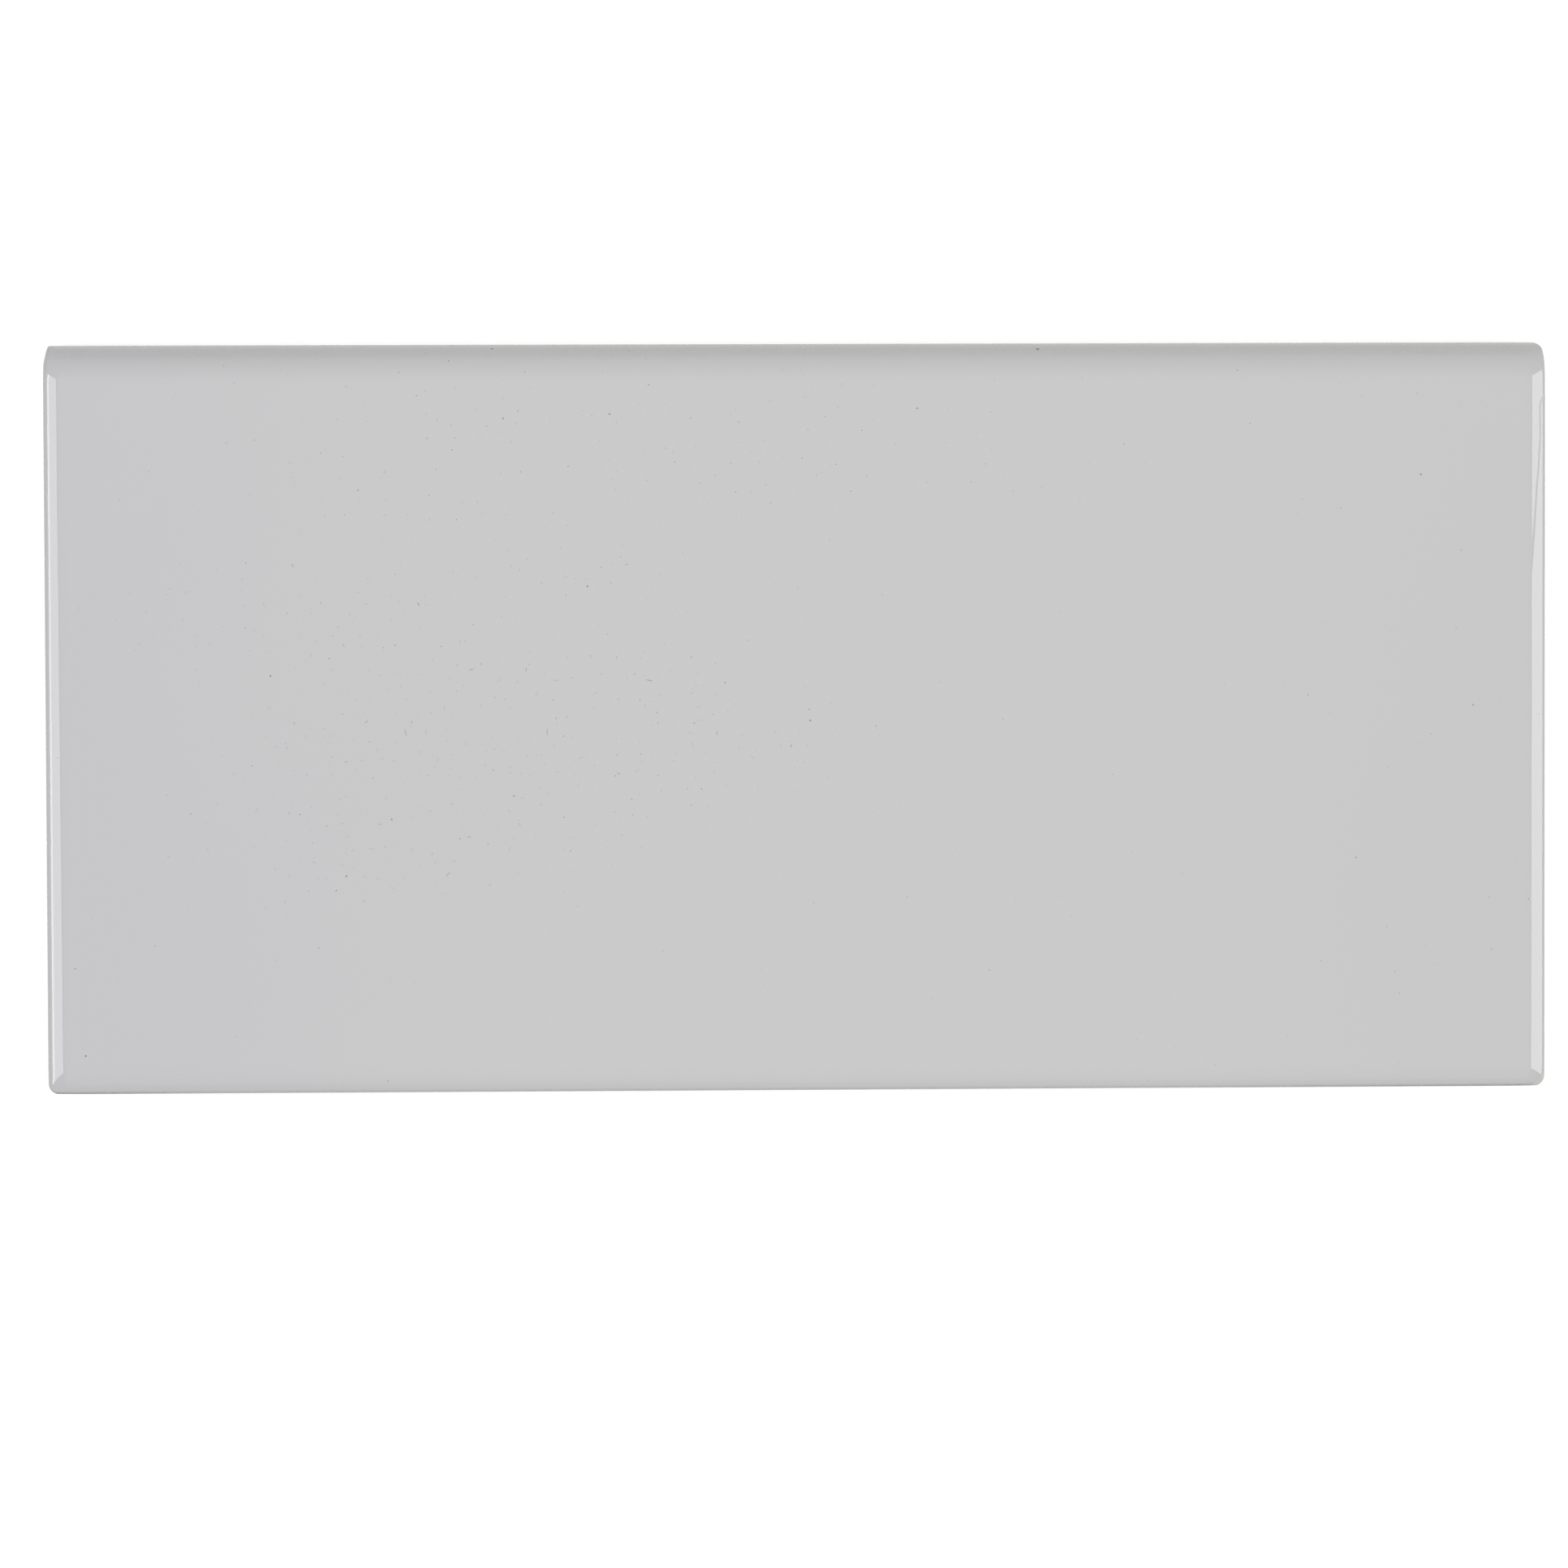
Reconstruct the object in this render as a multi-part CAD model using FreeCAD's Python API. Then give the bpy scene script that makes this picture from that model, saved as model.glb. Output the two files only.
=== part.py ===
import FreeCAD, Part
import math
import os

# Bullnose wall tile: one pressed and fired ceramic piece with a glazed face.
# Millimetres, +Z up. The tile lies on its back, face up. X runs along the bullnose
# edge and +Y points at it. The origin is the middle of the back, on its lands.

# Overall sizes
LENGTH = 151.6  # along the bullnose edge
WIDTH = 75.5  # from the plain long edge to the bullnose edge
THICKNESS = 7.9  # from the lands of the back to the flat of the face

# Bullnose: a quarter round from the face down to an upright lip
BULLNOSE_RADIUS = 4.2

# Plain edges: the face rolls off over a shallow cushion, then turns down over an arris
CUSHION_RADIUS = 5.0
CUSHION_SLOPE_DEG = 31.5  # how steep the cushion is where the arris takes over
ARRIS_RADIUS = 0.6

# Corners of the outline, seen from above
PLAIN_CORNER_RADIUS = 1.0  # both ends of the plain long edge
TAPER_DEPTH = 0.28  # both ends of the bullnose, drawn in along X
TAPER_LENGTH = 2.0  # and over this length along Y
NOSE_CORNER_RADIUS = 0.6  # right end of the bullnose, worn round

# Back: keying grooves along the length, inside a plain border
BACK_CHAMFER = 0.5  # around the foot of the walls
BORDER = 6.0  # plain land around the grooves
GROOVE_WIDTH = 5.0  # at the mouth
GROOVE_DEPTH = 0.7
GROOVE_DRAFT = 0.5  # how far each side leans in, from mouth to bottom
LAND_WIDTH = 3.2  # least land between two grooves

# How far a cutting shape runs past what it cuts
OVERRUN = 2.0

HALF_LENGTH = LENGTH / 2.0
HALF_WIDTH = WIDTH / 2.0


def line(start, end):
    return Part.LineSegment(start, end).toShape()


def arc(start, middle, end):
    return Part.Arc(start, middle, end).toShape()


def plain_edge(place, edge, inward):
    """Foot, wall, arris and cushion of a plain edge, from the back up to the flat of the face.

    place turns (across, height) into a point, edge is where the wall stands, and inward is 1
    or -1, the way into the tile.
    """
    slope = math.radians(CUSHION_SLOPE_DEG)
    centre_gap = CUSHION_RADIUS - ARRIS_RADIUS
    cushion_in = ARRIS_RADIUS + centre_gap * math.sin(slope)
    cushion_up = THICKNESS - CUSHION_RADIUS
    arris_up = cushion_up + centre_gap * math.cos(slope)

    def on_arris(angle):
        across = ARRIS_RADIUS - ARRIS_RADIUS * math.sin(angle)
        return place(edge + inward * across, arris_up + ARRIS_RADIUS * math.cos(angle))

    def on_cushion(angle):
        across = cushion_in - CUSHION_RADIUS * math.sin(angle)
        return place(edge + inward * across, cushion_up + CUSHION_RADIUS * math.cos(angle))

    upright = math.pi / 2.0
    foot = place(edge + inward * BACK_CHAMFER, 0.0)
    wall_foot = place(edge, BACK_CHAMFER)
    return [
        line(foot, wall_foot),
        line(wall_foot, on_arris(upright)),
        arc(on_arris(upright), on_arris((upright + slope) / 2.0), on_arris(slope)),
        arc(on_cushion(slope), on_cushion(slope / 2.0), on_cushion(0.0)),
    ]


def bullnose_edge(place, edge):
    """Foot, lip and quarter round of the bullnose, from the back up to the flat of the face."""
    centre_across = edge - BULLNOSE_RADIUS
    centre_up = THICKNESS - BULLNOSE_RADIUS

    def on_nose(angle):
        across = centre_across + BULLNOSE_RADIUS * math.sin(angle)
        return place(across, centre_up + BULLNOSE_RADIUS * math.cos(angle))

    upright = math.pi / 2.0
    foot = place(edge - BACK_CHAMFER, 0.0)
    lip_foot = place(edge, BACK_CHAMFER)
    return [
        line(foot, lip_foot),
        line(lip_foot, on_nose(upright)),
        arc(on_nose(upright), on_nose(upright / 2.0), on_nose(0.0)),
    ]


def section_face(one_edge, other_edge):
    """The tile's section between two edges: both profiles, joined along the face and the back."""
    top = line(one_edge[-1].Vertexes[-1].Point, other_edge[-1].Vertexes[-1].Point)
    back = line(one_edge[0].Vertexes[0].Point, other_edge[0].Vertexes[0].Point)
    wire = Part.Wire(Part.__sortEdges__(one_edge + other_edge + [top, back]))
    return Part.Face(wire)


def across_the_width():
    """The section from the plain long edge to the bullnose, drawn out past both ends."""
    start = -HALF_LENGTH - OVERRUN

    def place(across, height):
        return FreeCAD.Vector(start, across, height)

    face = section_face(plain_edge(place, -HALF_WIDTH, 1), bullnose_edge(place, HALF_WIDTH))
    return face.extrude(FreeCAD.Vector(LENGTH + 2.0 * OVERRUN, 0, 0))


def along_the_length():
    """The section from the left end to the right end, drawn out past both long edges."""
    start = -HALF_WIDTH - OVERRUN

    def place(across, height):
        return FreeCAD.Vector(across, start, height)

    face = section_face(plain_edge(place, -HALF_LENGTH, 1), plain_edge(place, HALF_LENGTH, -1))
    return face.extrude(FreeCAD.Vector(0, WIDTH + 2.0 * OVERRUN, 0))


def rounded_corner(before, corner, after, radius):
    """Start, middle and end of the arc that rounds a corner between two straight sides."""
    back = (before - corner).normalize()
    onward = (after - corner).normalize()
    inward = (back + onward).normalize()
    half_angle = back.getAngle(onward) / 2.0
    tangent = radius / math.tan(half_angle)
    gap = radius / math.sin(half_angle) - radius
    return corner + back * tangent, corner + inward * gap, corner + onward * tangent


def outline_prism():
    """The outline seen from above, with its corners, drawn out past the back and the face."""
    foot = -OVERRUN
    taper_start = HALF_WIDTH - TAPER_LENGTH
    nose_end = HALF_LENGTH - TAPER_DEPTH
    corners = [
        (FreeCAD.Vector(-HALF_LENGTH, -HALF_WIDTH, foot), PLAIN_CORNER_RADIUS),
        (FreeCAD.Vector(HALF_LENGTH, -HALF_WIDTH, foot), PLAIN_CORNER_RADIUS),
        (FreeCAD.Vector(HALF_LENGTH, taper_start, foot), None),
        (FreeCAD.Vector(nose_end, HALF_WIDTH, foot), NOSE_CORNER_RADIUS),
        (FreeCAD.Vector(-nose_end, HALF_WIDTH, foot), None),
        (FreeCAD.Vector(-HALF_LENGTH, taper_start, foot), None),
    ]
    ends = []
    edges = []
    for number, (corner, radius) in enumerate(corners):
        if radius is None:
            ends.append((corner, corner))
            continue
        before = corners[number - 1][0]
        after = corners[(number + 1) % len(corners)][0]
        start, middle, end = rounded_corner(before, corner, after, radius)
        ends.append((start, end))
        edges.append(arc(start, middle, end))
    for this, following in zip(ends, ends[1:] + ends[:1]):
        edges.append(line(this[1], following[0]))
    wire = Part.Wire(Part.__sortEdges__(edges))
    return Part.Face(wire).extrude(FreeCAD.Vector(0, 0, THICKNESS + 2.0 * OVERRUN))


def keying_grooves():
    """As many grooves across the back as its border leaves room for, evenly spaced."""
    room = WIDTH - 2.0 * BORDER
    count = int((room + LAND_WIDTH) // (GROOVE_WIDTH + LAND_WIDTH))
    spacing = (room - GROOVE_WIDTH) / (count - 1)
    end = HALF_LENGTH - BORDER
    half_mouth = GROOVE_WIDTH / 2.0
    half_bottom = half_mouth - GROOVE_DRAFT
    lean = GROOVE_DRAFT / GROOVE_DEPTH
    half_start = half_mouth + lean * OVERRUN
    grooves = []
    for number in range(count):
        middle = -HALF_WIDTH + BORDER + half_mouth + number * spacing
        corners = [
            FreeCAD.Vector(-end, middle - half_start, -OVERRUN),
            FreeCAD.Vector(-end, middle + half_start, -OVERRUN),
            FreeCAD.Vector(-end, middle + half_bottom, GROOVE_DEPTH),
            FreeCAD.Vector(-end, middle - half_bottom, GROOVE_DEPTH),
        ]
        face = Part.Face(Part.makePolygon(corners + corners[:1]))
        grooves.append(face.extrude(FreeCAD.Vector(2.0 * end, 0, 0)))
    return grooves


def bullnose_tile():
    body = across_the_width().common(along_the_length()).common(outline_prism())
    return body.cut(keying_grooves()).removeSplitter()


os.makedirs("parts", exist_ok=True)
tile = bullnose_tile()
solid = tile.Solids[0]
solid.exportStep("parts/bullnose_tile.step")
box = solid.BoundBox
print("solids", len(tile.Solids), "valid", solid.isValid(), "faces", len(solid.Faces))
print("size", round(box.XLength, 3), round(box.YLength, 3), round(box.ZLength, 3))
print("volume in cm3", round(solid.Volume / 1000.0, 3))
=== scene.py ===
import math

import bmesh
import bpy
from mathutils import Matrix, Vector, noise


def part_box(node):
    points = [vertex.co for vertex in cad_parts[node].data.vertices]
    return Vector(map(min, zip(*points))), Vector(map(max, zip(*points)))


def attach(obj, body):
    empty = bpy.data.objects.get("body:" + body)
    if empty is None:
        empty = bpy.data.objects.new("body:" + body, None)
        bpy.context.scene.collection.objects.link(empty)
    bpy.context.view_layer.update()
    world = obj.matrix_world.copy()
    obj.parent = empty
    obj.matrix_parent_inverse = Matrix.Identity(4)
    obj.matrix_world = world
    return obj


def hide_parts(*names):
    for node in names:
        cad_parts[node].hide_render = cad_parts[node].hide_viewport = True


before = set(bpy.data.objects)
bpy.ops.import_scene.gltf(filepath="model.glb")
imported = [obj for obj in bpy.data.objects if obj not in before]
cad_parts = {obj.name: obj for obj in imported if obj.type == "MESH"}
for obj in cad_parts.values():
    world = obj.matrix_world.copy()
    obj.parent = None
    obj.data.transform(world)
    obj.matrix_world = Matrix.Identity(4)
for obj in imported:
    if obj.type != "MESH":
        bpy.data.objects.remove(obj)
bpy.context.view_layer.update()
tile_low, tile_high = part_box("bullnose_tile")

# Bullnose wall tile: one pressed and fired ceramic piece, glazed on its face and over its bullnose.
# The mesh is worked out in millimetres and set down in metres. X runs along the bullnose edge,
# +Y points at it, and the back lies on the floor.

MM = 0.001  # one millimetre in metres

# Overall sizes, from the frame
LENGTH = (tile_high.x - tile_low.x) / MM
WIDTH = (tile_high.y - tile_low.y) / MM
THICKNESS = (tile_high.z - tile_low.z) / MM
HALF_LENGTH = LENGTH / 2
HALF_WIDTH = WIDTH / 2

# Edges of the face
BULLNOSE_RADIUS = 4.2
NOSE_END_ARRIS = 0.18  # the soft edge where the bullnose stops at each end
ARRIS_RADIUS = 0.6
END_SLOPE = math.radians(31.5)  # how steep a cushion is where the arris takes over, at both ends
FRONT_SLOPE = math.radians(27)  # and along the plain long edge
FRONT_CUSHION_AT_LEFT = 6.5  # the pressing and fettling left the cushions uneven
FRONT_CUSHION_AT_RIGHT = 4.4
RIGHT_CUSHION_AT_NOSE = 5.35
RIGHT_CUSHION_AT_FRONT = 5.65
LEFT_CUSHION_AT_NOSE = 4.6
LEFT_CUSHION_AT_FRONT = 5.6
CUSHION_WOBBLE = 0.08  # the hand-smoothed unevenness of a cushion's radius
CUSHION_WOBBLE_LENGTH = 9.0
LEFT_WOBBLE = 0  # which stretch of noise each end's wobble follows
RIGHT_WOBBLE = 7
CORNER_DEPTH = 2.2  # two rolled edges drop together by no more than this at a plain corner

# Corners of the outline, seen from above
PLAIN_CORNER_RADIUS = 1.0
LEFT_TAPER = 0.26  # how far the bullnose is drawn in at its left end
RIGHT_TAPER = 0.12  # and at its right end
TAPER_LENGTH = 1.8
NOSE_CORNER_RADIUS = 0.8  # right end of the bullnose, worn round
CORNER_FADE = 8.0  # how far into the face a corner's outline pulls the mesh

# Foot and back
BACK_CHAMFER = 0.5
BORDER = 6.0
GROOVE_WIDTH = 5.0
GROOVE_DEPTH = 0.7
GROOVE_DRAFT = 0.5
GROOVE_COUNT = 8
GROOVE_SOFTENING = 0.15  # pressed clay has no sharp edges

# Chip in the left arris, hardly deeper than the glaze
CHIP_FROM_NOSE = 50.15
CHIP_HALF_LENGTH = 0.2
CHIP_DEPTH = 0.03
CHIP_BARE = 0.4  # how far the glaze line is broken back there

# Glaze on the face
GLAZE_WAVE = 0.005  # how far the fired glaze rises and falls
GLAZE_WAVE_LENGTH = 14.0
RUN_HEIGHT = 0.06  # a run of thicker glaze along the right end
RUN_EDGE = 0.17  # the width of the step along its edge
# Where the edge of the run lies: distance from the bullnose edge, distance from the right end
RUN_LINE = [
    (5.4, 0.18),
    (5.8, 0.43),
    (6.4, 0.63),
    (8.1, 0.63),
    (9.3, 0.58),
    (11.3, 0.72),
    (13.0, 0.79),
    (14.6, 0.96),
    (19.5, 1.27),
    (22.4, 1.52),
    (24.5, 1.73),
]

# How far down each wall the glaze creeps before bare body shows
LEFT_CREEP = 0.18
RIGHT_CREEP = 0.5
FRONT_CREEP = 0.45
NOSE_CREEP = 2.5
BARE_CORNER_REACH = 2.8  # at two corners it stops short of the edge, over this length
BARE_CORNER_CREEP = 0.3  # and by this much

# Where the glaze is thin
THIN_FROM = 0.15  # up to this far in from an edge it is at its thinnest
THIN_TO = 0.55  # and from here on it is as thick as on the face
THIN_SPARED = 0.15  # every edge but the left one is better covered by this much
NOSE_THIN_LINE = 1.32  # the bullnose has a faint line this far in from its edge
NOSE_THIN_SOFT = 0.12  # the line's half width
# Below the line the glaze is thinner, and its darker tone there is partly painted shade on the rim of the
# bullnose
NOSE_THIN_AND_SHADE = 0.3  # how thin the glaze is below the line, where 1 is the thinnest

# Painted darkening of the face: painted shade on the lip of the bullnose and in the step of the glaze run,
# and a darker line along the plain long edge
FRONT_DARKENING = 0.6
FRONT_DARKENING_FROM_LEFT = (4, 20)  # it thins out over this stretch, measured from the left end
FRONT_DARKENING_FROM_RIGHT = (8, 45)  # and over this one from the right end
FRONT_DARKENING_INWARD = (0.04, 0.3)  # and over this one from the edge into the face
# Painted shade on the lip of the bullnose, darkest at its rim: how dark, how far in it reaches, how
# closely it keeps to the lip
LIP_PAINTED_SHADE = 0.3
LIP_SHADE_REACH = 0.7
LIP_SHADE_FALL = 3  # the higher, the closer it keeps to the lip
# Painted shade in the step along the edge of the glaze run
RUN_PAINTED_SHADE = 0.12

# Marks gather in patches of the face: middle, half size, and share of the places that show a mark
MARK_BASE_SHARE = 0.03
MARK_PATCHES = [
    ((-27, -1), (38, 12), 0.62),
    ((-40, -11), (25, 9), 0.54),
    ((-50, 10), (24, 7), 0.45),
    ((-20, 27), (56, 11), 0.28),
    ((-24, 14), (13, 6), 0.4),
    ((40, -32), (18, 5), 0.13),
]
MARK_PATCH_FADE = (0.45, 1.15)  # a patch thins out between these shares of its half size
MARK_FREE_EDGE = 1.2  # the very edges show none

# How closely the mesh follows the shape
ARRIS_STEPS = 7
NOSE_STEPS = 28
END_STEP = 0.1  # on the cushions of both ends
RUN_STEP = 0.05  # closer still along the right end, where the run lies
RUN_BAND = 1.85
RUN_CURL = (4.9, 6.9)  # where the run curls in from the right end, measured from the bullnose edge
RUN_CURL_STEP = 0.09
FLAT_STEP_ALONG = 2.0
FLAT_STEP_ACROSS = 0.32
CHIP_STEP = 0.1
FRONT_STEP = 0.13
WALL_STEPS = 10
SHARP_ANGLE = math.radians(40)


def smoothstep(start, end, value):
    """0 before start, 1 after end, and an easy rise between them."""
    share = min(1.0, max(0.0, (value - start) / (end - start)))
    return share * share * (3 - 2 * share)


def quarter_round(distance, radius):
    """How far a rounded edge has dropped, this far in from its wall."""
    if distance >= radius:
        return 0.0
    return radius - math.sqrt(max(0.0, radius**2 - (radius - distance) ** 2))


def arris_width(slope):
    """How far from the wall the arris ends and a cushion of this slope takes over."""
    return ARRIS_RADIUS * (1 - math.sin(slope))


def cushion_start(radius, slope):
    """How far from the wall the flat of the face ends and its cushion starts to fall."""
    return ARRIS_RADIUS + (radius - ARRIS_RADIUS) * math.sin(slope)


def roll_off(distance, radius, slope):
    """How far a plain edge has dropped: a shallow cushion, then the arris."""
    if distance > arris_width(slope):
        return quarter_round(distance - cushion_start(radius, slope) + radius, radius)
    cushion_drop = (radius - ARRIS_RADIUS) * (1 - math.cos(slope))
    return cushion_drop + quarter_round(distance, ARRIS_RADIUS)


def drop_together(one, other, limit):
    """How far two rolled edges drop where they meet: both in full while shallow, less towards limit."""
    return one + other - one * other / limit


def front_cushion(left):
    """The cushion's radius along the plain long edge, this far from the left end."""
    return FRONT_CUSHION_AT_LEFT + (FRONT_CUSHION_AT_RIGHT - FRONT_CUSHION_AT_LEFT) * left / LENGTH


def end_cushion(front, at_front, at_nose, wobble):
    """The cushion's radius at one end of the tile, this far from the plain long edge."""
    share = front / WIDTH
    radius = at_front + (at_nose - at_front) * share
    return radius + CUSHION_WOBBLE * noise.noise(Vector((wobble, front / CUSHION_WOBBLE_LENGTH, 0)))


def corner_fade(distance):
    """1 at a corner, easing to 0 further along."""
    return max(0.0, 1 - distance / CORNER_FADE) ** 2


def plain_corner(distance):
    """How far the outline is drawn in beside a plain corner, this far along from it."""
    halfway = PLAIN_CORNER_RADIUS * (1 - math.sqrt(0.5))
    return quarter_round(distance + halfway * corner_fade(distance), PLAIN_CORNER_RADIUS)


def nose_taper(nose):
    """1 where an end of the bullnose is drawn in most, falling to 0 further along its wall."""
    return max(0.0, 1 - nose / TAPER_LENGTH)


def worn_nose_end(nose):
    """How far the right end of the bullnose is drawn in."""
    return RIGHT_TAPER * nose_taper(nose) + quarter_round(nose, NOSE_CORNER_RADIUS)


def left_chip(nose):
    """1 in the middle of the chip in the left arris, easing to 0 at its ends."""
    return 1 - smoothstep(0, CHIP_HALF_LENGTH, abs(nose - CHIP_FROM_NOSE))


def run_inset(nose):
    """How far from the right end the edge of the glaze run lies, this far from the bullnose edge."""
    for (start, inset), (end, next_inset) in zip(RUN_LINE, RUN_LINE[1:]):
        if start <= nose <= end:
            return inset + (next_inset - inset) * (nose - start) / (end - start)
    return 0.0


def run_fade(nose):
    """1 along the glaze run, 0 before it starts, easing to 0 where it dies out."""
    if nose < RUN_LINE[0][0]:
        return 0.0
    return 1 - smoothstep(RUN_LINE[-2][0], RUN_LINE[-1][0], nose)


def run_rise(nose, right):
    """How much the glaze run stands above the glaze around it."""
    edge = run_inset(nose)
    inside = 1 - smoothstep(edge - RUN_EDGE / 2, edge + RUN_EDGE / 2, right)
    return RUN_HEIGHT * run_fade(nose) * inside


def glaze_reach(left, right, front, nose):
    """How far inside the glaze line a point of the face lies."""
    bare_left = 1 - smoothstep(0, BARE_CORNER_REACH, nose)
    bare_right = 1 - smoothstep(0, BARE_CORNER_REACH, max(front, right))
    return min(
        left + LEFT_CREEP - BARE_CORNER_CREEP * bare_left - CHIP_BARE * left_chip(nose),
        right + RIGHT_CREEP - (BARE_CORNER_CREEP + RIGHT_CREEP) * bare_right,
        front + FRONT_CREEP - (BARE_CORNER_CREEP + FRONT_CREEP) * bare_right,
        nose + NOSE_CREEP,
    )


def thin_glaze(left, right, front, nose):
    """1 where the glaze is thinnest, over an edge, and 0 where it is as thick as on the face."""
    inside = min(left, right + THIN_SPARED, front + THIN_SPARED, nose + THIN_SPARED)
    # below the bullnose's line: thinner glaze, and partly painted shade
    below_line = 1 - smoothstep(NOSE_THIN_LINE - NOSE_THIN_SOFT, NOSE_THIN_LINE + NOSE_THIN_SOFT, nose)
    return max(1 - smoothstep(THIN_FROM, THIN_TO, inside), NOSE_THIN_AND_SHADE * below_line)


def edge_darkening(left, right, front, nose):
    """How much darker a point of the face is painted: painted shade on the lip and in the step of the
    glaze run, and a darker plain long edge, most towards its ends.
    """
    near_left = 1 - smoothstep(*FRONT_DARKENING_FROM_LEFT, left)
    near_right = 1 - smoothstep(*FRONT_DARKENING_FROM_RIGHT, right)
    at_edge = 1 - smoothstep(*FRONT_DARKENING_INWARD, front)
    along_front = FRONT_DARKENING * max(near_left, near_right) * at_edge
    # painted shade on the lip of the bullnose
    lip_shade = LIP_PAINTED_SHADE * max(0.0, 1 - nose / LIP_SHADE_REACH) ** LIP_SHADE_FALL
    # painted shade in the step of the glaze run
    off_step = abs(right - run_inset(nose))
    step_shade = RUN_PAINTED_SHADE * run_fade(nose) * (1 - smoothstep(0, RUN_EDGE / 2, off_step))
    return max(along_front, lip_shade, step_shade)


def mark_share(left, right, front, nose):
    """How many of the places for a mark show one, from the patches of the face."""
    share = MARK_BASE_SHARE
    for (middle_x, middle_y), (half_x, half_y), most in MARK_PATCHES:
        out_x = (left - HALF_LENGTH - middle_x) / half_x
        out_y = (front - HALF_WIDTH - middle_y) / half_y
        thinned = smoothstep(*MARK_PATCH_FADE, math.hypot(out_x, out_y))
        share = max(share, most * (1 - thinned))
    return share * smoothstep(0, MARK_FREE_EDGE, min(left, right, front, nose))


def even_stops(start, end, step):
    """Even distances from start up to end, which is left for the next stretch."""
    count = math.ceil((end - start) / step)
    return [start + (end - start) * number / count for number in range(count)]


def arris_stops(slope):
    """Distances from a wall that divide its arris evenly by angle."""
    upright = math.pi / 2
    turn = (upright - slope) / ARRIS_STEPS
    return [ARRIS_RADIUS * (1 - math.sin(upright - turn * number)) for number in range(ARRIS_STEPS)]


def face_columns():
    """Distances from the left wall, close together where the face rolls off."""
    arris_end = arris_width(END_SLOPE)
    left_end = cushion_start(LEFT_CUSHION_AT_FRONT + CUSHION_WOBBLE, END_SLOPE)
    right_end = cushion_start(RIGHT_CUSHION_AT_FRONT + CUSHION_WOBBLE, END_SLOPE)
    left = arris_stops(END_SLOPE) + even_stops(arris_end, left_end, END_STEP)
    flat = even_stops(left_end, LENGTH - right_end, FLAT_STEP_ALONG)
    right = arris_stops(END_SLOPE) + even_stops(arris_end, RUN_BAND, RUN_STEP)
    right += even_stops(RUN_BAND, right_end, END_STEP) + [right_end]
    return left + flat + [LENGTH - distance for distance in reversed(right)]


def face_rows():
    """Distances from the plain wall, close together where the face rolls off."""
    front_end = cushion_start(FRONT_CUSHION_AT_LEFT, FRONT_SLOPE)
    nose_start = WIDTH - BULLNOSE_RADIUS
    front = arris_stops(FRONT_SLOPE) + even_stops(arris_width(FRONT_SLOPE), front_end, FRONT_STEP)
    curl_start = WIDTH - RUN_CURL[1]
    curl_end = WIDTH - RUN_CURL[0]
    chip_start = WIDTH - CHIP_FROM_NOSE - CHIP_HALF_LENGTH
    chip_end = WIDTH - CHIP_FROM_NOSE + CHIP_HALF_LENGTH
    flat = even_stops(front_end, chip_start, FLAT_STEP_ACROSS)
    flat += even_stops(chip_start, chip_end, CHIP_STEP)
    flat += even_stops(chip_end, curl_start, FLAT_STEP_ACROSS)
    flat += even_stops(curl_start, curl_end, RUN_CURL_STEP)
    flat += even_stops(curl_end, nose_start, FLAT_STEP_ACROSS)
    turn = math.pi / 2 / NOSE_STEPS
    nose = [nose_start + BULLNOSE_RADIUS * math.sin(turn * number) for number in range(NOSE_STEPS + 1)]
    return front + flat + nose


def face_point(left, front):
    """Where a point of the face lies, from its distances to the left end and the plain long edge."""
    right = LENGTH - left
    nose = WIDTH - front
    nose_radius = BULLNOSE_RADIUS - quarter_round(min(left, right), NOSE_END_ARRIS)
    turn = min(1.0, max(0.0, (BULLNOSE_RADIUS - nose) / BULLNOSE_RADIUS))
    left_cushion = end_cushion(front, LEFT_CUSHION_AT_FRONT, LEFT_CUSHION_AT_NOSE, LEFT_WOBBLE)
    right_cushion = end_cushion(front, RIGHT_CUSHION_AT_FRONT, RIGHT_CUSHION_AT_NOSE, RIGHT_WOBBLE)
    end_drop = roll_off(left, left_cushion, END_SLOPE) + roll_off(right, right_cushion, END_SLOPE)
    front_drop = roll_off(front, front_cushion(left), FRONT_SLOPE)
    nose_drop = BULLNOSE_RADIUS - nose_radius * math.sqrt(1 - turn * turn)
    drop = drop_together(end_drop, front_drop, CORNER_DEPTH)
    drop = drop_together(drop, nose_drop, BULLNOSE_RADIUS)
    wave = noise.noise(Vector((left, front, 0)) / GLAZE_WAVE_LENGTH)
    drop += GLAZE_WAVE * (1 + wave) / 2
    x = left - HALF_LENGTH
    left_in = plain_corner(front) + LEFT_TAPER * nose_taper(nose) + CHIP_DEPTH * left_chip(nose)
    x += left_in * corner_fade(left)
    x -= (plain_corner(front) + worn_nose_end(nose)) * corner_fade(right)
    y = front - HALF_WIDTH
    y += (plain_corner(left) + plain_corner(right)) * corner_fade(front)
    y -= (BULLNOSE_RADIUS - nose_radius) * turn
    return Vector((x, y, THICKNESS - drop + run_rise(nose, right)))


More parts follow.
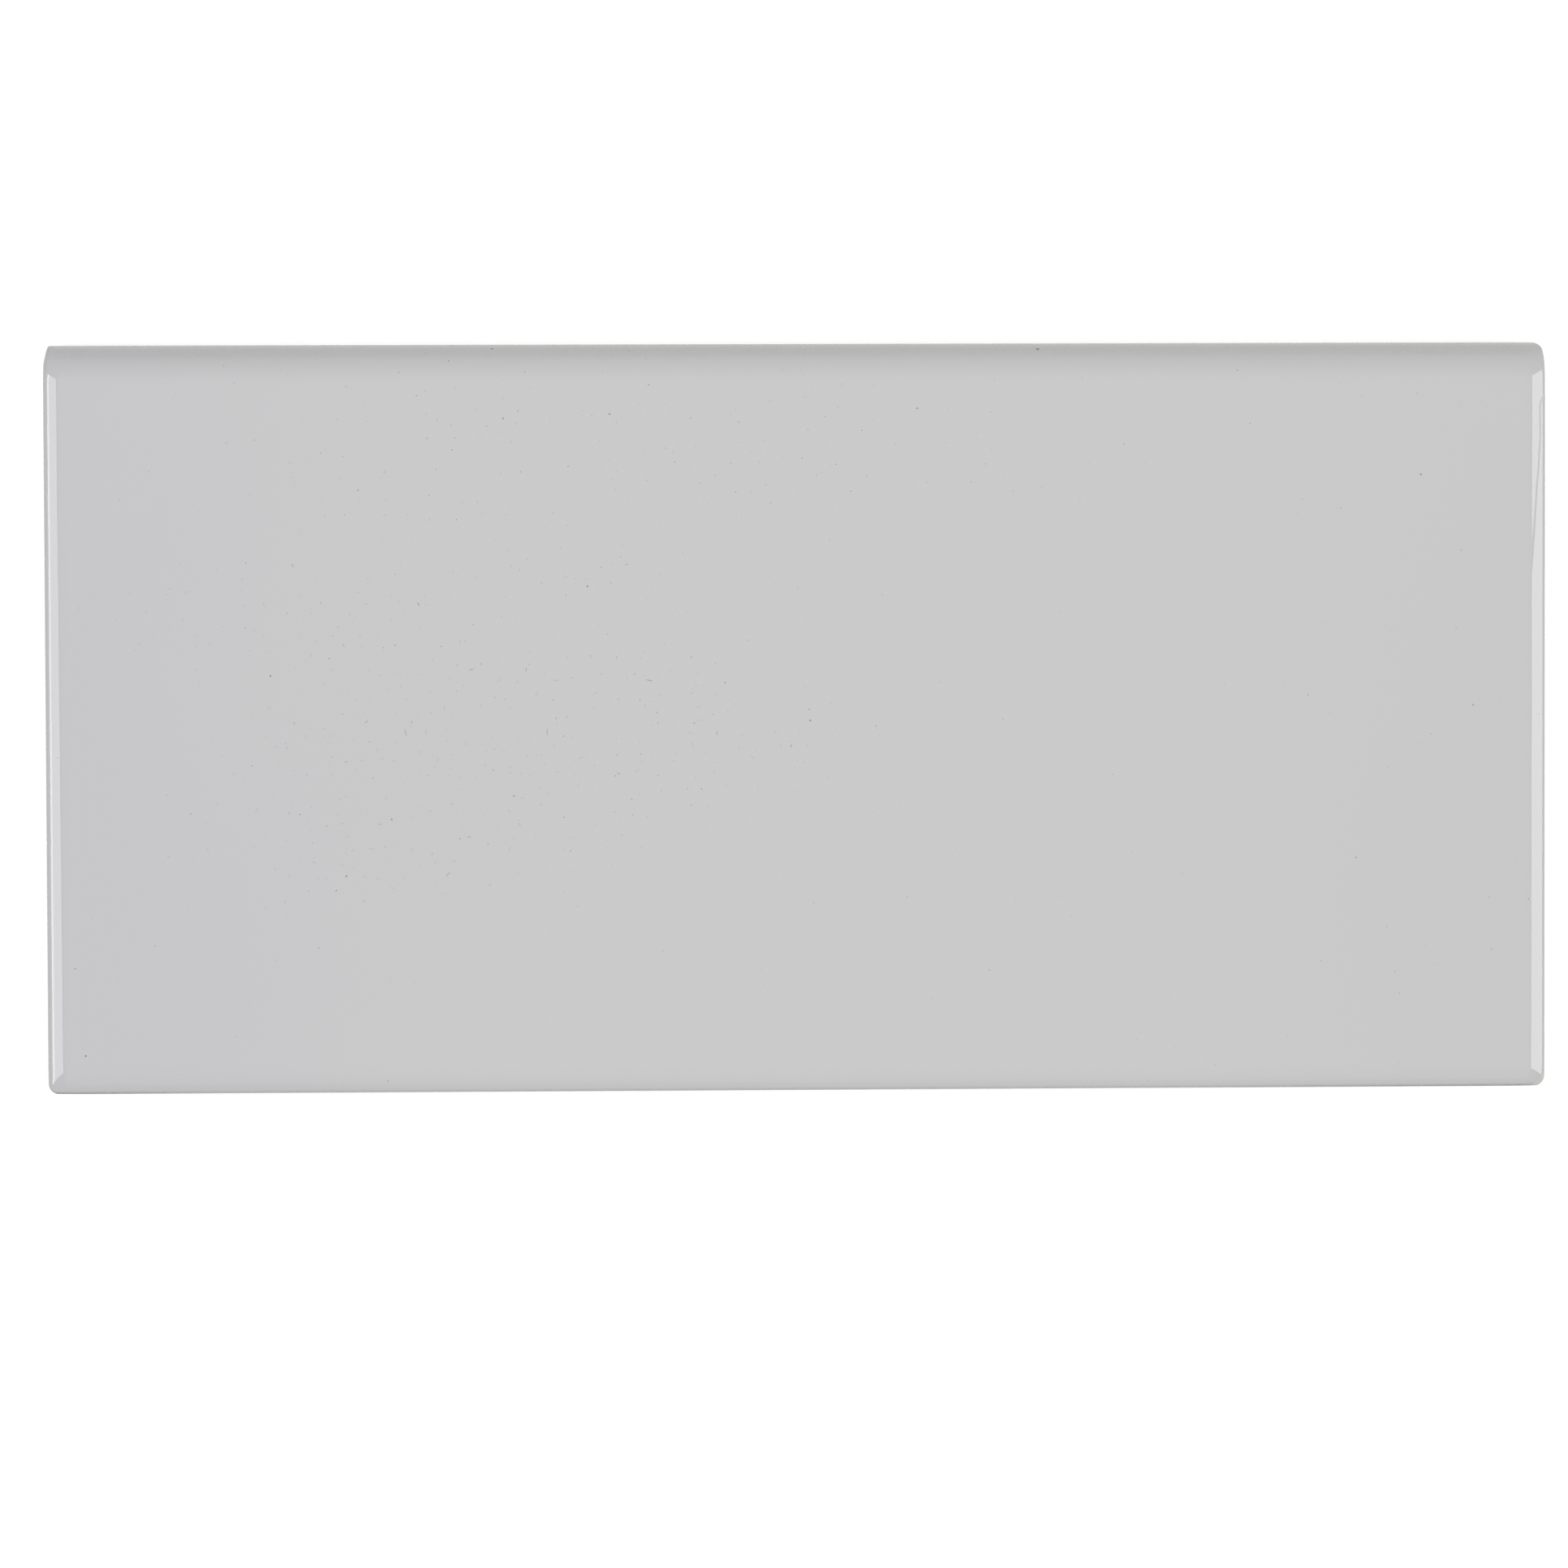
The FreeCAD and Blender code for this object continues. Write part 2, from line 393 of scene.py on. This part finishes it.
def shape_face(bm, reach):
    """The glazed face as one sheet, from wall to wall. Each vertex holds what the glaze does there."""
    thin = bm.verts.layers.float.new("glaze_thin")
    darkening = bm.verts.layers.float.new("edge_darkening")
    marks = bm.verts.layers.float.new("mark_share")
    columns = face_columns()
    rows = face_rows()
    bmesh.ops.create_grid(bm, x_segments=len(columns) - 1, y_segments=len(rows) - 1, size=1.0)
    for vert in bm.verts:
        left = columns[round((vert.co.x + 1) / 2 * (len(columns) - 1))]
        front = rows[round((vert.co.y + 1) / 2 * (len(rows) - 1))]
        right = LENGTH - left
        nose = WIDTH - front
        vert.co = face_point(left, front)
        vert[reach] = glaze_reach(left, right, front, nose)
        vert[thin] = thin_glaze(left, right, front, nose)
        vert[darkening] = edge_darkening(left, right, front, nose)
        vert[marks] = mark_share(left, right, front, nose)


def pull_down(bm, rim):
    """One more ring of wall below the rim. Gives back the new rim."""
    made = bmesh.ops.extrude_edge_only(bm, edges=rim)["geom"]
    return [item for item in made if isinstance(item, bmesh.types.BMEdge) and item.is_boundary]


def shape_walls(bm, reach):
    """Walls from the rim of the face down to the foot, and the chamfer under them."""
    rim = [edge for edge in bm.edges if edge.is_boundary]
    for remaining in range(WALL_STEPS, 0, -1):
        rim = pull_down(bm, rim)
        for vert in {vert for edge in rim for vert in edge.verts}:
            step = (vert.co.z - BACK_CHAMFER) / remaining
            vert.co.z -= step
            vert[reach] -= step
    rim = pull_down(bm, rim)
    foot = list({vert for edge in rim for vert in edge.verts})
    drawn_in = (1 - BACK_CHAMFER / HALF_LENGTH, 1 - BACK_CHAMFER / HALF_WIDTH, 0)
    bmesh.ops.scale(bm, vec=drawn_in, verts=foot)
    for vert in foot:
        vert[reach] -= BACK_CHAMFER
    return rim


def cut_flat(bm, faces, place, direction):
    """Cuts flat faces along a plane. Gives back the faces there are then."""
    parts = set(faces)
    for face in faces:
        parts.update(face.edges)
        parts.update(face.verts)
    cut = bmesh.ops.bisect_plane(bm, geom=list(parts), plane_co=place, plane_no=direction)
    return [item for item in cut["geom"] if isinstance(item, bmesh.types.BMFace)]


def shape_back(bm, rim):
    """The back across the foot, with its keying grooves pressed in."""
    field = bmesh.ops.contextual_create(bm, geom=rim)["faces"]
    groove_end = HALF_LENGTH - BORDER
    for side in (-1, 1):
        field = cut_flat(bm, field, (side * groove_end, 0, 0), (1, 0, 0))
    field = [face for face in field if abs(face.calc_center_bounds().x) < groove_end]
    first_middle = -HALF_WIDTH + BORDER + GROOVE_WIDTH / 2
    spacing = (WIDTH - 2 * BORDER - GROOVE_WIDTH) / (GROOVE_COUNT - 1)
    middles = [first_middle + spacing * number for number in range(GROOVE_COUNT)]
    for middle in middles:
        for side in (-1, 1):
            mouth_side = (0, middle + side * GROOVE_WIDTH / 2, 0)
            field = cut_flat(bm, field, mouth_side, (0, 1, 0))
    mouths = []
    for face in field:
        gap = min(abs(face.calc_center_bounds().y - middle) for middle in middles)
        if gap < GROOVE_WIDTH / 4:
            mouths.append(face)
    bottoms = bmesh.ops.extrude_discrete_faces(bm, faces=mouths)["faces"]
    narrowed = 1 - 2 * GROOVE_DRAFT / GROOVE_WIDTH
    groove_edges = set()
    for bottom in bottoms:
        middle = bottom.calc_center_bounds().y
        for vert in bottom.verts:
            vert.co.y = middle + (vert.co.y - middle) * narrowed
            vert.co.z = GROOVE_DEPTH
        for edge in bottom.edges:
            for face in edge.link_faces:
                groove_edges.update(face.edges)
    bmesh.ops.bevel(
        bm,
        geom=list(groove_edges),
        offset=GROOVE_SOFTENING,
        affect="EDGES",
        segments=2,
        profile=0.5,
        material=-1,
        clamp_overlap=True,
    )


def build_tile():
    """The tile as one closed mesh."""
    bm = bmesh.new()
    reach = bm.verts.layers.float.new("glaze_reach")
    shape_face(bm, reach)
    rim = shape_walls(bm, reach)
    shape_back(bm, rim)
    bmesh.ops.recalc_face_normals(bm, faces=bm.faces)
    bmesh.ops.scale(bm, vec=(MM, MM, MM), verts=bm.verts)
    for face in bm.faces:
        face.smooth = True
    mesh = bpy.data.meshes.new("glazed_bullnose_tile")
    bm.to_mesh(mesh)
    bm.free()
    mesh.set_sharp_from_angle(angle=SHARP_ANGLE)
    tile = bpy.data.objects.new("glazed_bullnose_tile", mesh)
    bpy.context.scene.collection.objects.link(tile)
    return tile


def colour(text):
    """An sRGB hex colour as the linear values that a shader takes."""
    linear = []
    for start in (1, 3, 5):
        share = int(text[start : start + 2], 16) / 255
        linear.append(share / 12.92 if share <= 0.04045 else ((share + 0.055) / 1.055) ** 2.4)
    return (*linear, 1.0)


def add_node(tree, kind, sockets=None, **settings):
    """Adds a node with its settings, and fills its sockets from other nodes or with plain values."""
    node = tree.nodes.new(kind)
    for name, value in settings.items():
        setattr(node, name, value)
    for socket, value in (sockets or {}).items():
        if isinstance(value, bpy.types.NodeSocket):
            tree.links.new(value, node.inputs[socket])
        else:
            node.inputs[socket].default_value = value
    return node


def empty_material(name):
    """A material with no nodes yet."""
    material = bpy.data.materials.new(name)
    material.use_nodes = True
    material.node_tree.nodes.clear()
    return material


# Colours of the glaze and the body, sizes in millimetres
# Along the glaze, painted shade darkens both ends where the light falls off, and painted cool light tints
# the left end
GLAZE_TONES_AND_PAINTED_LIGHT = [(0.0, "#C4C4C6"), (0.3, "#C7C7C7"), (0.75, "#C7C7C7"), (1.0, "#C5C5C5")]  # left to right
GLAZE_TONE_STRAY = 0.3  # how far patches stray from these tones, as a share of the tile's length
GLAZE_TONE_LENGTH = 45.0
THIN_GLAZE = "#BAB7B2"  # where it draws thin over an edge, the body dulls it
# Painted shade on the lip and in the step of the glaze run, and the darker line along the plain long edge
EDGE_DARK = "#6E675D"
EDGE_MOTTLE = 0.35  # the size of the blotches in thin glaze and in the painted darkening
MOTTLE_RANGE = (0.35, 0.65)  # over this range of noise, thin glaze and the painted darkening go from least to full
MOTTLE_LEAST = 0.5
MARK_DARK = "#4A4846"
BODY_CREAM = "#DCD9D2"
BODY_SHADE = "#CFCAC0"
BODY_TONE_RANGE = (0.65, 1.35)  # over this range of two noises summed, it goes from shade to cream
BODY_GRAIN = 0.35

# Gloss and relief of the glaze and the body, sizes in millimetres
GLAZE_ROUGHNESS = 0.02
GLAZE_SMEAR = 0.02  # how much duller the glaze is in patches
THIN_DULLNESS = 0.35  # and where it is drawn thin
MARK_DULLNESS = 0.4  # and in the marks
BODY_ROUGHNESS = 0.88
CERAMIC_IOR = 1.5
PEEL_LENGTH = 1.4  # the faint orange peel of a fired glaze
PEEL_HEIGHT = 0.0012
BODY_GRAIN_HEIGHT = 0.025

# The line where the glaze ends: how far it wanders, over what length, and its half width
GLAZE_LINE_WANDER = 0.45
GLAZE_LINE_WANDER_LENGTH = 1.8
GLAZE_LINE_SOFT = 0.06

# Marks in the glaze, burnt out of the body during firing: specks, and a few drawn out to short hairs
MARK_SPACING = 1.3
MARK_HALF_WIDTH = 0.082
MARK_HALF_LENGTHS = (0.1, 1.0)  # shortest and longest
FEW_LONG = 5.0  # the higher, the fewer marks come near the longest
MARK_TURN = 20 * math.pi  # many turns, so that a mark's direction tells nothing of its bend
MARK_BEND = 0.8  # how far a hair bends aside, for each millimetre squared along it
MARK_DEPTHS = (0.15, 0.62)  # faintest and darkest
FEW_DEEP = 4.0  # the higher, the fewer marks come near the darkest
MARK_CORE = 0.3  # the share of a mark's size that has its full depth
SECOND_DRAW = 10.0  # the later digits of a chance serve as a chance of their own

# The pinholes that show most: place, radius, darkness
PINHOLE_CORE = 0.4  # the share of the radius that has the full darkness
FACE = THICKNESS
PINHOLES = [
    ((-71.9, -33.8, FACE), 0.12, 0.85),
    ((-45.6, -15.8, FACE), 0.12, 0.8),
    ((-41.0, -10.1, FACE), 0.12, 0.7),
    ((-21.2, 13.3, FACE), 0.12, 0.8),
    ((1.2, -0.3, FACE), 0.12, 0.75),
    ((-53.1, 4.4, FACE), 0.12, 0.75),
    ((63.0, 24.3, FACE), 0.12, 0.75),
    ((-18.9, 30.6, FACE), 0.12, 0.7),
    ((-29.6, 30.2, FACE), 0.12, 0.65),
    ((12.1, 31.1, FACE), 0.13, 0.55),
    ((-28.7, -7.8, FACE), 0.12, 0.6),
    ((68.3, 1.0, FACE), 0.13, 0.5),
    ((56.4, -14.4, FACE), 0.11, 0.5),
    ((-72.9, -25.0, FACE - 0.02), 0.12, 0.5),
    ((24.4, 37.1, FACE - 1.96), 0.22, 0.9),
    ((-30.7, 37.3, FACE - 2.23), 0.2, 0.8),
    ((74.8, 29.2, FACE - 0.35), 0.11, 0.35),
]


def scattered_marks(tree, place, share):
    """Specks and short hairs, each of its own length, direction, bend and depth.

    Each cell has room for one mark. Where more of the cells show theirs, hairs grow longer and fainter.
    """
    cells = add_node(
        tree,
        "ShaderNodeTexVoronoi",
        {"Vector": place, "Scale": 1 / MARK_SPACING},
        voronoi_dimensions="2D",
    )
    chance = add_node(tree, "ShaderNodeSeparateColor", {0: cells.outputs["Color"]})
    gap = add_node(
        tree, "ShaderNodeVectorMath", {0: place, 1: cells.outputs["Position"]}, operation="SUBTRACT"
    )
    angle = add_node(tree, "ShaderNodeMath", {0: chance.outputs[0], 1: MARK_TURN}, operation="MULTIPLY")
    turned = add_node(
        tree,
        "ShaderNodeVectorRotate",
        {"Vector": gap.outputs[0], "Angle": angle.outputs[0]},
        rotation_type="Z_AXIS",
    )
    lying = add_node(tree, "ShaderNodeSeparateXYZ", {0: turned.outputs[0]})
    along = lying.outputs[0]
    aside = lying.outputs[1]
    few_long = add_node(tree, "ShaderNodeMath", {0: chance.outputs[1], 1: FEW_LONG}, operation="POWER")
    drawn_out = add_node(tree, "ShaderNodeMath", {0: few_long.outputs[0], 1: share}, operation="MULTIPLY")
    half_length = add_node(
        tree,
        "ShaderNodeMapRange",
        {0: drawn_out.outputs[0], 3: MARK_HALF_LENGTHS[0], 4: MARK_HALF_LENGTHS[1]},
    )
    squared = add_node(tree, "ShaderNodeMath", {0: along, 1: along}, operation="MULTIPLY")
    bend = add_node(tree, "ShaderNodeMapRange", {0: chance.outputs[0], 3: -MARK_BEND, 4: MARK_BEND})
    bent = add_node(
        tree,
        "ShaderNodeMath",
        {0: squared.outputs[0], 1: bend.outputs[0], 2: aside},
        operation="MULTIPLY_ADD",
    )
    length_share = add_node(
        tree, "ShaderNodeMath", {0: along, 1: half_length.outputs[0]}, operation="DIVIDE"
    )
    width_share = add_node(
        tree, "ShaderNodeMath", {0: bent.outputs[0], 1: MARK_HALF_WIDTH}, operation="DIVIDE"
    )
    out = add_node(
        tree, "ShaderNodeCombineXYZ", {0: length_share.outputs[0], 1: width_share.outputs[0]}
    )
    distance = add_node(tree, "ShaderNodeVectorMath", {0: out.outputs[0]}, operation="LENGTH")
    few_deep = add_node(tree, "ShaderNodeMath", {0: chance.outputs[2], 1: FEW_DEEP}, operation="POWER")
    fainter = add_node(
        tree, "ShaderNodeMath", {0: few_deep.outputs[0], 1: drawn_out.outputs[0]}, operation="SUBTRACT"
    )
    depth = add_node(
        tree, "ShaderNodeMapRange", {0: fainter.outputs[0], 3: MARK_DEPTHS[0], 4: MARK_DEPTHS[1]}
    )
    inside = add_node(
        tree,
        "ShaderNodeMapRange",
        {0: distance.outputs["Value"], 1: 1.0, 2: MARK_CORE, 4: depth.outputs[0]},
        interpolation_type="SMOOTHSTEP",
    )
    spread = add_node(tree, "ShaderNodeMath", {0: chance.outputs[1], 1: SECOND_DRAW}, operation="MULTIPLY")
    draw = add_node(tree, "ShaderNodeMath", {0: spread.outputs[0]}, operation="FRACT")
    shows = add_node(tree, "ShaderNodeMath", {0: draw.outputs[0], 1: share}, operation="LESS_THAN")
    return add_node(
        tree, "ShaderNodeMath", {0: shows.outputs[0], 1: inside.outputs[0]}, operation="MULTIPLY"
    ).outputs[0]


def glaze_marks(tree, place):
    """All the dark marks in the glaze, from 0 for clean to 1."""
    share = add_node(tree, "ShaderNodeAttribute", attribute_name="mark_share").outputs["Fac"]
    layers = [scattered_marks(tree, place, share)]
    for middle, radius, darkness in PINHOLES:
        gap = add_node(tree, "ShaderNodeVectorMath", {0: place, 1: middle}, operation="DISTANCE")
        inside = add_node(
            tree,
            "ShaderNodeMapRange",
            {0: gap.outputs["Value"], 1: radius, 2: PINHOLE_CORE * radius, 4: darkness},
        )
        layers.append(inside.outputs[0])
    marks = layers[0]
    for layer in layers[1:]:
        marks = add_node(tree, "ShaderNodeMath", {0: marks, 1: layer}, operation="MAXIMUM").outputs[0]
    return marks


def gloss_glaze_on_white_body():
    """Earthenware wall tile: a gloss grey-white glaze fired on a cream body.

    The glaze gives a hard, clear reflection over an even pale tone with fine burnt specks. It thins
    and warms over the arrises, and past its line the body is matt, chalky and faintly grained.
    """
    material = empty_material("gloss_glaze_on_white_body")
    tree = material.node_tree
    metres = add_node(tree, "ShaderNodeTexCoord").outputs["Object"]
    place = add_node(
        tree, "ShaderNodeVectorMath", {0: metres, "Scale": 1 / MM}, operation="SCALE"
    ).outputs[0]

    # Where the glaze ends
    reach = add_node(tree, "ShaderNodeAttribute", attribute_name="glaze_reach").outputs["Fac"]
    wander = add_node(
        tree,
        "ShaderNodeTexNoise",
        {"Vector": place, "Scale": 1 / GLAZE_LINE_WANDER_LENGTH, "Detail": 1.0},
    )
    line = add_node(
        tree,
        "ShaderNodeMath",
        {0: wander.outputs[0], 1: 2 * GLAZE_LINE_WANDER, 2: reach},
        operation="MULTIPLY_ADD",
    )
    past_line = add_node(
        tree, "ShaderNodeMath", {0: line.outputs[0], 1: GLAZE_LINE_WANDER}, operation="SUBTRACT"
    )
    cover = add_node(
        tree,
        "ShaderNodeMapRange",
        {0: past_line.outputs[0], 1: -GLAZE_LINE_SOFT, 2: GLAZE_LINE_SOFT},
        interpolation_type="SMOOTHSTEP",
    ).outputs[0]

    # Where it is thin and where it is painted darker, with painted shade on the lip and in the run's step,
    # both in blotches
    mottle = add_node(
        tree, "ShaderNodeTexNoise", {"Vector": place, "Scale": 1 / EDGE_MOTTLE, "Detail": 1.0}
    )
    patchy = add_node(
        tree,
        "ShaderNodeMapRange",
        {0: mottle.outputs[0], 1: MOTTLE_RANGE[0], 2: MOTTLE_RANGE[1], 3: MOTTLE_LEAST, 4: 1.0},
    ).outputs[0]
    edge = add_node(tree, "ShaderNodeAttribute", attribute_name="glaze_thin").outputs["Fac"]
    thin = add_node(tree, "ShaderNodeMath", {0: edge, 1: patchy}, operation="MULTIPLY").outputs[0]
    darkening_share = add_node(tree, "ShaderNodeAttribute", attribute_name="edge_darkening").outputs["Fac"]
    darkening = add_node(tree, "ShaderNodeMath", {0: darkening_share, 1: patchy}, operation="MULTIPLY").outputs[0]

    # Colour
    tone = add_node(
        tree, "ShaderNodeTexNoise", {"Vector": place, "Scale": 1 / GLAZE_TONE_LENGTH, "Detail": 1.0}
    )
    across = add_node(tree, "ShaderNodeSeparateXYZ", {0: place}).outputs[0]
    along = add_node(
        tree,
        "ShaderNodeMath",
        {0: across, 1: 1 / LENGTH, 2: 0.5 - GLAZE_TONE_STRAY / 2},
        operation="MULTIPLY_ADD",
    )
    strayed = add_node(
        tree,
        "ShaderNodeMath",
        {0: tone.outputs[0], 1: GLAZE_TONE_STRAY, 2: along.outputs[0]},
        operation="MULTIPLY_ADD",
    )
    # glaze tone along the tile, with painted shade at both ends and painted cool light at the left
    glaze = add_node(tree, "ShaderNodeValToRGB", {0: strayed.outputs[0]})
    stops = glaze.color_ramp.elements
    stops.remove(stops[1])
    for position, shade in GLAZE_TONES_AND_PAINTED_LIGHT[1:]:
        stops.new(position).color = colour(shade)
    stops[0].color = colour(GLAZE_TONES_AND_PAINTED_LIGHT[0][1])
    warmed = add_node(
        tree, "ShaderNodeMix", {0: thin, 6: glaze.outputs[0], 7: colour(THIN_GLAZE)}, data_type="RGBA"
    )
    darkened = add_node(
        tree, "ShaderNodeMix", {0: darkening, 6: warmed.outputs[2], 7: colour(EDGE_DARK)}, data_type="RGBA"
    )
    marks = glaze_marks(tree, place)
    marked = add_node(
        tree, "ShaderNodeMix", {0: marks, 6: darkened.outputs[2], 7: colour(MARK_DARK)}, data_type="RGBA"
    )
    grain = add_node(tree, "ShaderNodeTexNoise", {"Vector": place, "Scale": 1 / BODY_GRAIN, "Detail": 2.0})
    blotched = add_node(
        tree, "ShaderNodeMath", {0: grain.outputs[0], 1: wander.outputs[0]}, operation="ADD"
    )
    body_tone = add_node(
        tree,
        "ShaderNodeMapRange",
        {0: blotched.outputs[0], 1: BODY_TONE_RANGE[0], 2: BODY_TONE_RANGE[1]},
    )
    body = add_node(
        tree,
        "ShaderNodeMix",
        {0: body_tone.outputs[0], 6: colour(BODY_SHADE), 7: colour(BODY_CREAM)},
        data_type="RGBA",
    )
    surface = add_node(
        tree, "ShaderNodeMix", {0: cover, 6: body.outputs[2], 7: marked.outputs[2]}, data_type="RGBA"
    )

    # Gloss
    smeared = add_node(
        tree,
        "ShaderNodeMapRange",
        {0: tone.outputs[0], 3: GLAZE_ROUGHNESS, 4: GLAZE_ROUGHNESS + GLAZE_SMEAR},
    )
    pitted = add_node(
        tree,
        "ShaderNodeMath",
        {0: marks, 1: MARK_DULLNESS, 2: smeared.outputs[0]},
        operation="MULTIPLY_ADD",
    )
    dulled = add_node(
        tree, "ShaderNodeMath", {0: thin, 1: THIN_DULLNESS, 2: pitted.outputs[0]}, operation="MULTIPLY_ADD"
    )
    roughness = add_node(tree, "ShaderNodeMix", {0: cover, 2: BODY_ROUGHNESS, 3: dulled.outputs[0]})

    # Relief, in millimetres
    peel = add_node(tree, "ShaderNodeTexNoise", {"Vector": place, "Scale": 1 / PEEL_LENGTH, "Detail": 0.0})
    peel_height = add_node(
        tree, "ShaderNodeMath", {0: peel.outputs[0], 1: PEEL_HEIGHT}, operation="MULTIPLY"
    )
    grain_height = add_node(
        tree, "ShaderNodeMath", {0: grain.outputs[0], 1: BODY_GRAIN_HEIGHT}, operation="MULTIPLY"
    )
    height = add_node(
        tree, "ShaderNodeMix", {0: cover, 2: grain_height.outputs[0], 3: peel_height.outputs[0]}
    )
    relief = add_node(
        tree, "ShaderNodeBump", {"Strength": 1.0, "Distance": MM, "Height": height.outputs[0]}
    )

    fired = add_node(
        tree,
        "ShaderNodeBsdfPrincipled",
        {
            "Base Color": surface.outputs[2],
            "Roughness": roughness.outputs[0],
            "IOR": CERAMIC_IOR,
            "Normal": relief.outputs[0],
        },
    )
    add_node(tree, "ShaderNodeOutputMaterial", {"Surface": fired.outputs[0]})
    return material


# The set: a matt white board under a soft, even studio light, in metres
BOARD_WHITE = "#CACACA"
BOARD_HALF = 4.0
BOARD_GAP = 0.00005  # keeps the board just clear of the back
BOARD_LIFT = 0.59  # what the camera sees on top of the light that falls on the board
WORLD_FILL = 0.3  # how bright the white all round is as a light
NEUTRAL_WHITE = "#FFFFFF"
COOL_WHITE = "#FCFCFF"
DOWN = (0, 0, -1)

# Lamps: name, place, the way it faces, width, height, brightness, tint. The two overhead lie one over
# the other, so that the bullnose shows no hard edge of either. The strip lights the left arris.
LAMPS = [
    ("overhead_softbox", (0.13, -0.4, 1.5), DOWN, 2.44, 2.4, 0.24, NEUTRAL_WHITE),
    ("overhead_veil", (0.13, -0.2, 1.48), DOWN, 2.44, 2.8, 0.235, NEUTRAL_WHITE),
    ("back_softbox", (0.0, 1.6, 1.25), (0, -1, 0), 3.0, 1.9, 0.12, NEUTRAL_WHITE),
    ("left_softbox", (-1.0, -0.02, 0.88), (1, 0, 0), 1.08, 0.6, 3.5, COOL_WHITE),
    ("left_strip", (-1.0, -0.02, 0.53), (1, 0, 0), 1.08, 0.1, 7.0, COOL_WHITE),
    ("right_softbox", (1.0, 0.035, 0.645), (-1, 0, 0), 0.83, 0.65, 4.1, NEUTRAL_WHITE),
]

# Camera, solved from the tile's outline in the photo
CAMERA_PLACE = Vector((-19.504, 14.308, 622.428)) * MM
CAMERA_TURN_DEG = (-1.952, -1.6881, -0.2016)
CAMERA_LENS = 140.0  # millimetres, as is the sensor
CAMERA_SENSOR = 36.0
CAMERA_CLIP_START = 0.01


def seen_directly(tree):
    """1 for what the camera, a reflection or glass looks at, 0 for light that only fills."""
    path = add_node(tree, "ShaderNodeLightPath")
    two = add_node(
        tree,
        "ShaderNodeMath",
        {0: path.outputs["Is Camera Ray"], 1: path.outputs["Is Glossy Ray"]},
        operation="ADD",
    )
    return add_node(
        tree,
        "ShaderNodeMath",
        {0: two.outputs[0], 1: path.outputs["Is Transmission Ray"]},
        operation="ADD",
        use_clamp=True,
    ).outputs[0]


def matt_white_board():
    """Coated board: matt, white and even, with the tile's soft shadow on it."""
    material = empty_material("matt_white_board")
    tree = material.node_tree
    lift = add_node(
        tree, "ShaderNodeMath", {0: seen_directly(tree), 1: BOARD_LIFT}, operation="MULTIPLY"
    )
    paper = add_node(tree, "ShaderNodeBsdfDiffuse", {"Color": colour(BOARD_WHITE)})
    glow = add_node(
        tree, "ShaderNodeEmission", {"Color": colour(NEUTRAL_WHITE), "Strength": lift.outputs[0]}
    )
    board = add_node(tree, "ShaderNodeAddShader", {0: paper.outputs[0], 1: glow.outputs[0]})
    add_node(tree, "ShaderNodeOutputMaterial", {"Surface": board.outputs[0]})
    material.cycles.emission_sampling = "NONE"  # the lift is only looked at and lights nothing
    return material


def lay_board():
    """The board that the tile lies on."""
    bm = bmesh.new()
    bmesh.ops.create_grid(bm, x_segments=1, y_segments=1, size=BOARD_HALF)
    bmesh.ops.translate(bm, vec=(0, 0, -BOARD_GAP), verts=bm.verts)
    mesh = bpy.data.meshes.new("white_board")
    bm.to_mesh(mesh)
    bm.free()
    board = bpy.data.objects.new("white_board", mesh)
    board.data.materials.append(matt_white_board())
    bpy.context.scene.collection.objects.link(board)


def fill_with_sky():
    """An even white all round, which fills the shadows only softly."""
    world = bpy.data.worlds.new("white_studio")
    world.use_nodes = True
    tree = world.node_tree
    tree.nodes.clear()
    strength = add_node(
        tree,
        "ShaderNodeMath",
        {0: seen_directly(tree), 1: 1 - WORLD_FILL, 2: WORLD_FILL},
        operation="MULTIPLY_ADD",
    )
    sky = add_node(
        tree, "ShaderNodeBackground", {"Color": colour(NEUTRAL_WHITE), "Strength": strength.outputs[0]}
    )
    add_node(tree, "ShaderNodeOutputWorld", {"Surface": sky.outputs[0]})
    bpy.context.scene.world = world


def hang_lamp(name, place, facing, wide, tall, brightness, tint):
    """A flat soft lamp. Its brightness is what a mirror would show, where 1 is white."""
    lamp = bpy.data.lights.new(name, "AREA")
    lamp.shape = "RECTANGLE"
    lamp.size = wide
    lamp.size_y = tall
    lamp.energy = brightness * math.pi * wide * tall
    lamp.color = colour(tint)[:3]
    softbox = bpy.data.objects.new(name, lamp)
    softbox.location = place
    softbox.rotation_euler = Vector(facing).to_track_quat("-Z", "Y").to_euler()
    softbox.visible_camera = False
    bpy.context.scene.collection.objects.link(softbox)


def set_camera():
    """Straight above the tile with a long lens, a little off its middle, as the photo was taken."""
    lens = bpy.data.cameras.new("overhead_camera")
    lens.lens = CAMERA_LENS
    lens.sensor_width = CAMERA_SENSOR
    lens.clip_start = CAMERA_CLIP_START
    camera = bpy.data.objects.new("overhead_camera", lens)
    camera.location = CAMERA_PLACE
    camera.rotation_euler = [math.radians(angle) for angle in CAMERA_TURN_DEG]
    bpy.context.scene.collection.objects.link(camera)
    bpy.context.scene.camera = camera


tile = build_tile()
tile.data.materials.append(gloss_glaze_on_white_body())
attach(tile, "root")
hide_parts("bullnose_tile")

lay_board()
fill_with_sky()
for lamp in LAMPS:
    hang_lamp(*lamp)
set_camera()
bpy.context.scene.view_settings.view_transform = "Standard"
